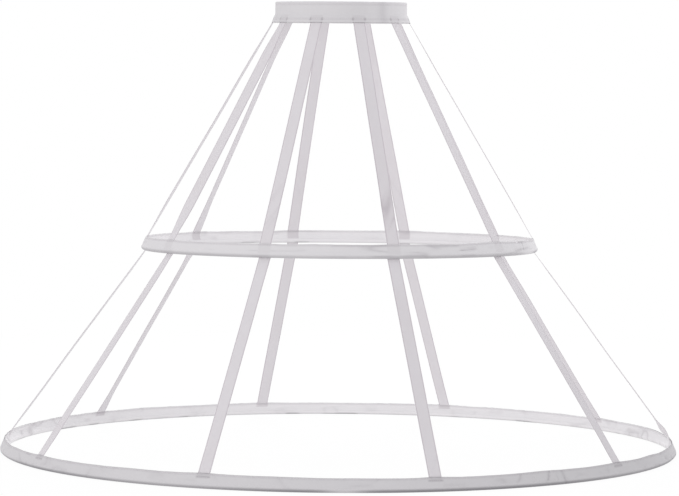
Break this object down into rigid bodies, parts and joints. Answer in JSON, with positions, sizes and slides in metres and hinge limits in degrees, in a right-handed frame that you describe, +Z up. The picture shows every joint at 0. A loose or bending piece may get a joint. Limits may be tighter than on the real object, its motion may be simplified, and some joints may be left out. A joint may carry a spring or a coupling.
{
  "type": "crinoline cage",
  "caption": "Open petticoat cage of white cloth tapes hung from an elastic waistband and held out by a middle hoop and a wide hem hoop in sewn casings, worn under a full skirt.",
  "frame": {"origin": "centre of the hem's circle, in the plane that the hem rests on", "axes": "+Z up through the waist, -Y to the front, +X to the right in the front view"},
  "size_m": [1.08, 1.08, 0.7223],
  "materials": {
    "casing_cloth": "plain weave",
    "tape": "woven ribbon",
    "elastic": "braided",
    "hoop_wire": "smooth coating",
    "joiner": "satin"
  },
  "bodies": {
    "root": {"waistband": "casing_cloth", "waist_elastic": "elastic", "middle_hoop_casing": "casing_cloth", "middle_hoop_wire": "hoop_wire", "middle_hoop_joiner": "joiner", "bottom_hoop_casing": "casing_cloth", "bottom_hoop_wire": "hoop_wire", "bottom_hoop_joiner": "joiner", "tape_01": "tape", "tape_02": "tape", "tape_03": "tape", "tape_04": "tape", "tape_05": "tape", "tape_06": "tape", "tape_07": "tape", "tape_08": "tape", "tape_09": "tape", "tape_10": "tape"}
  },
  "joints": []
}
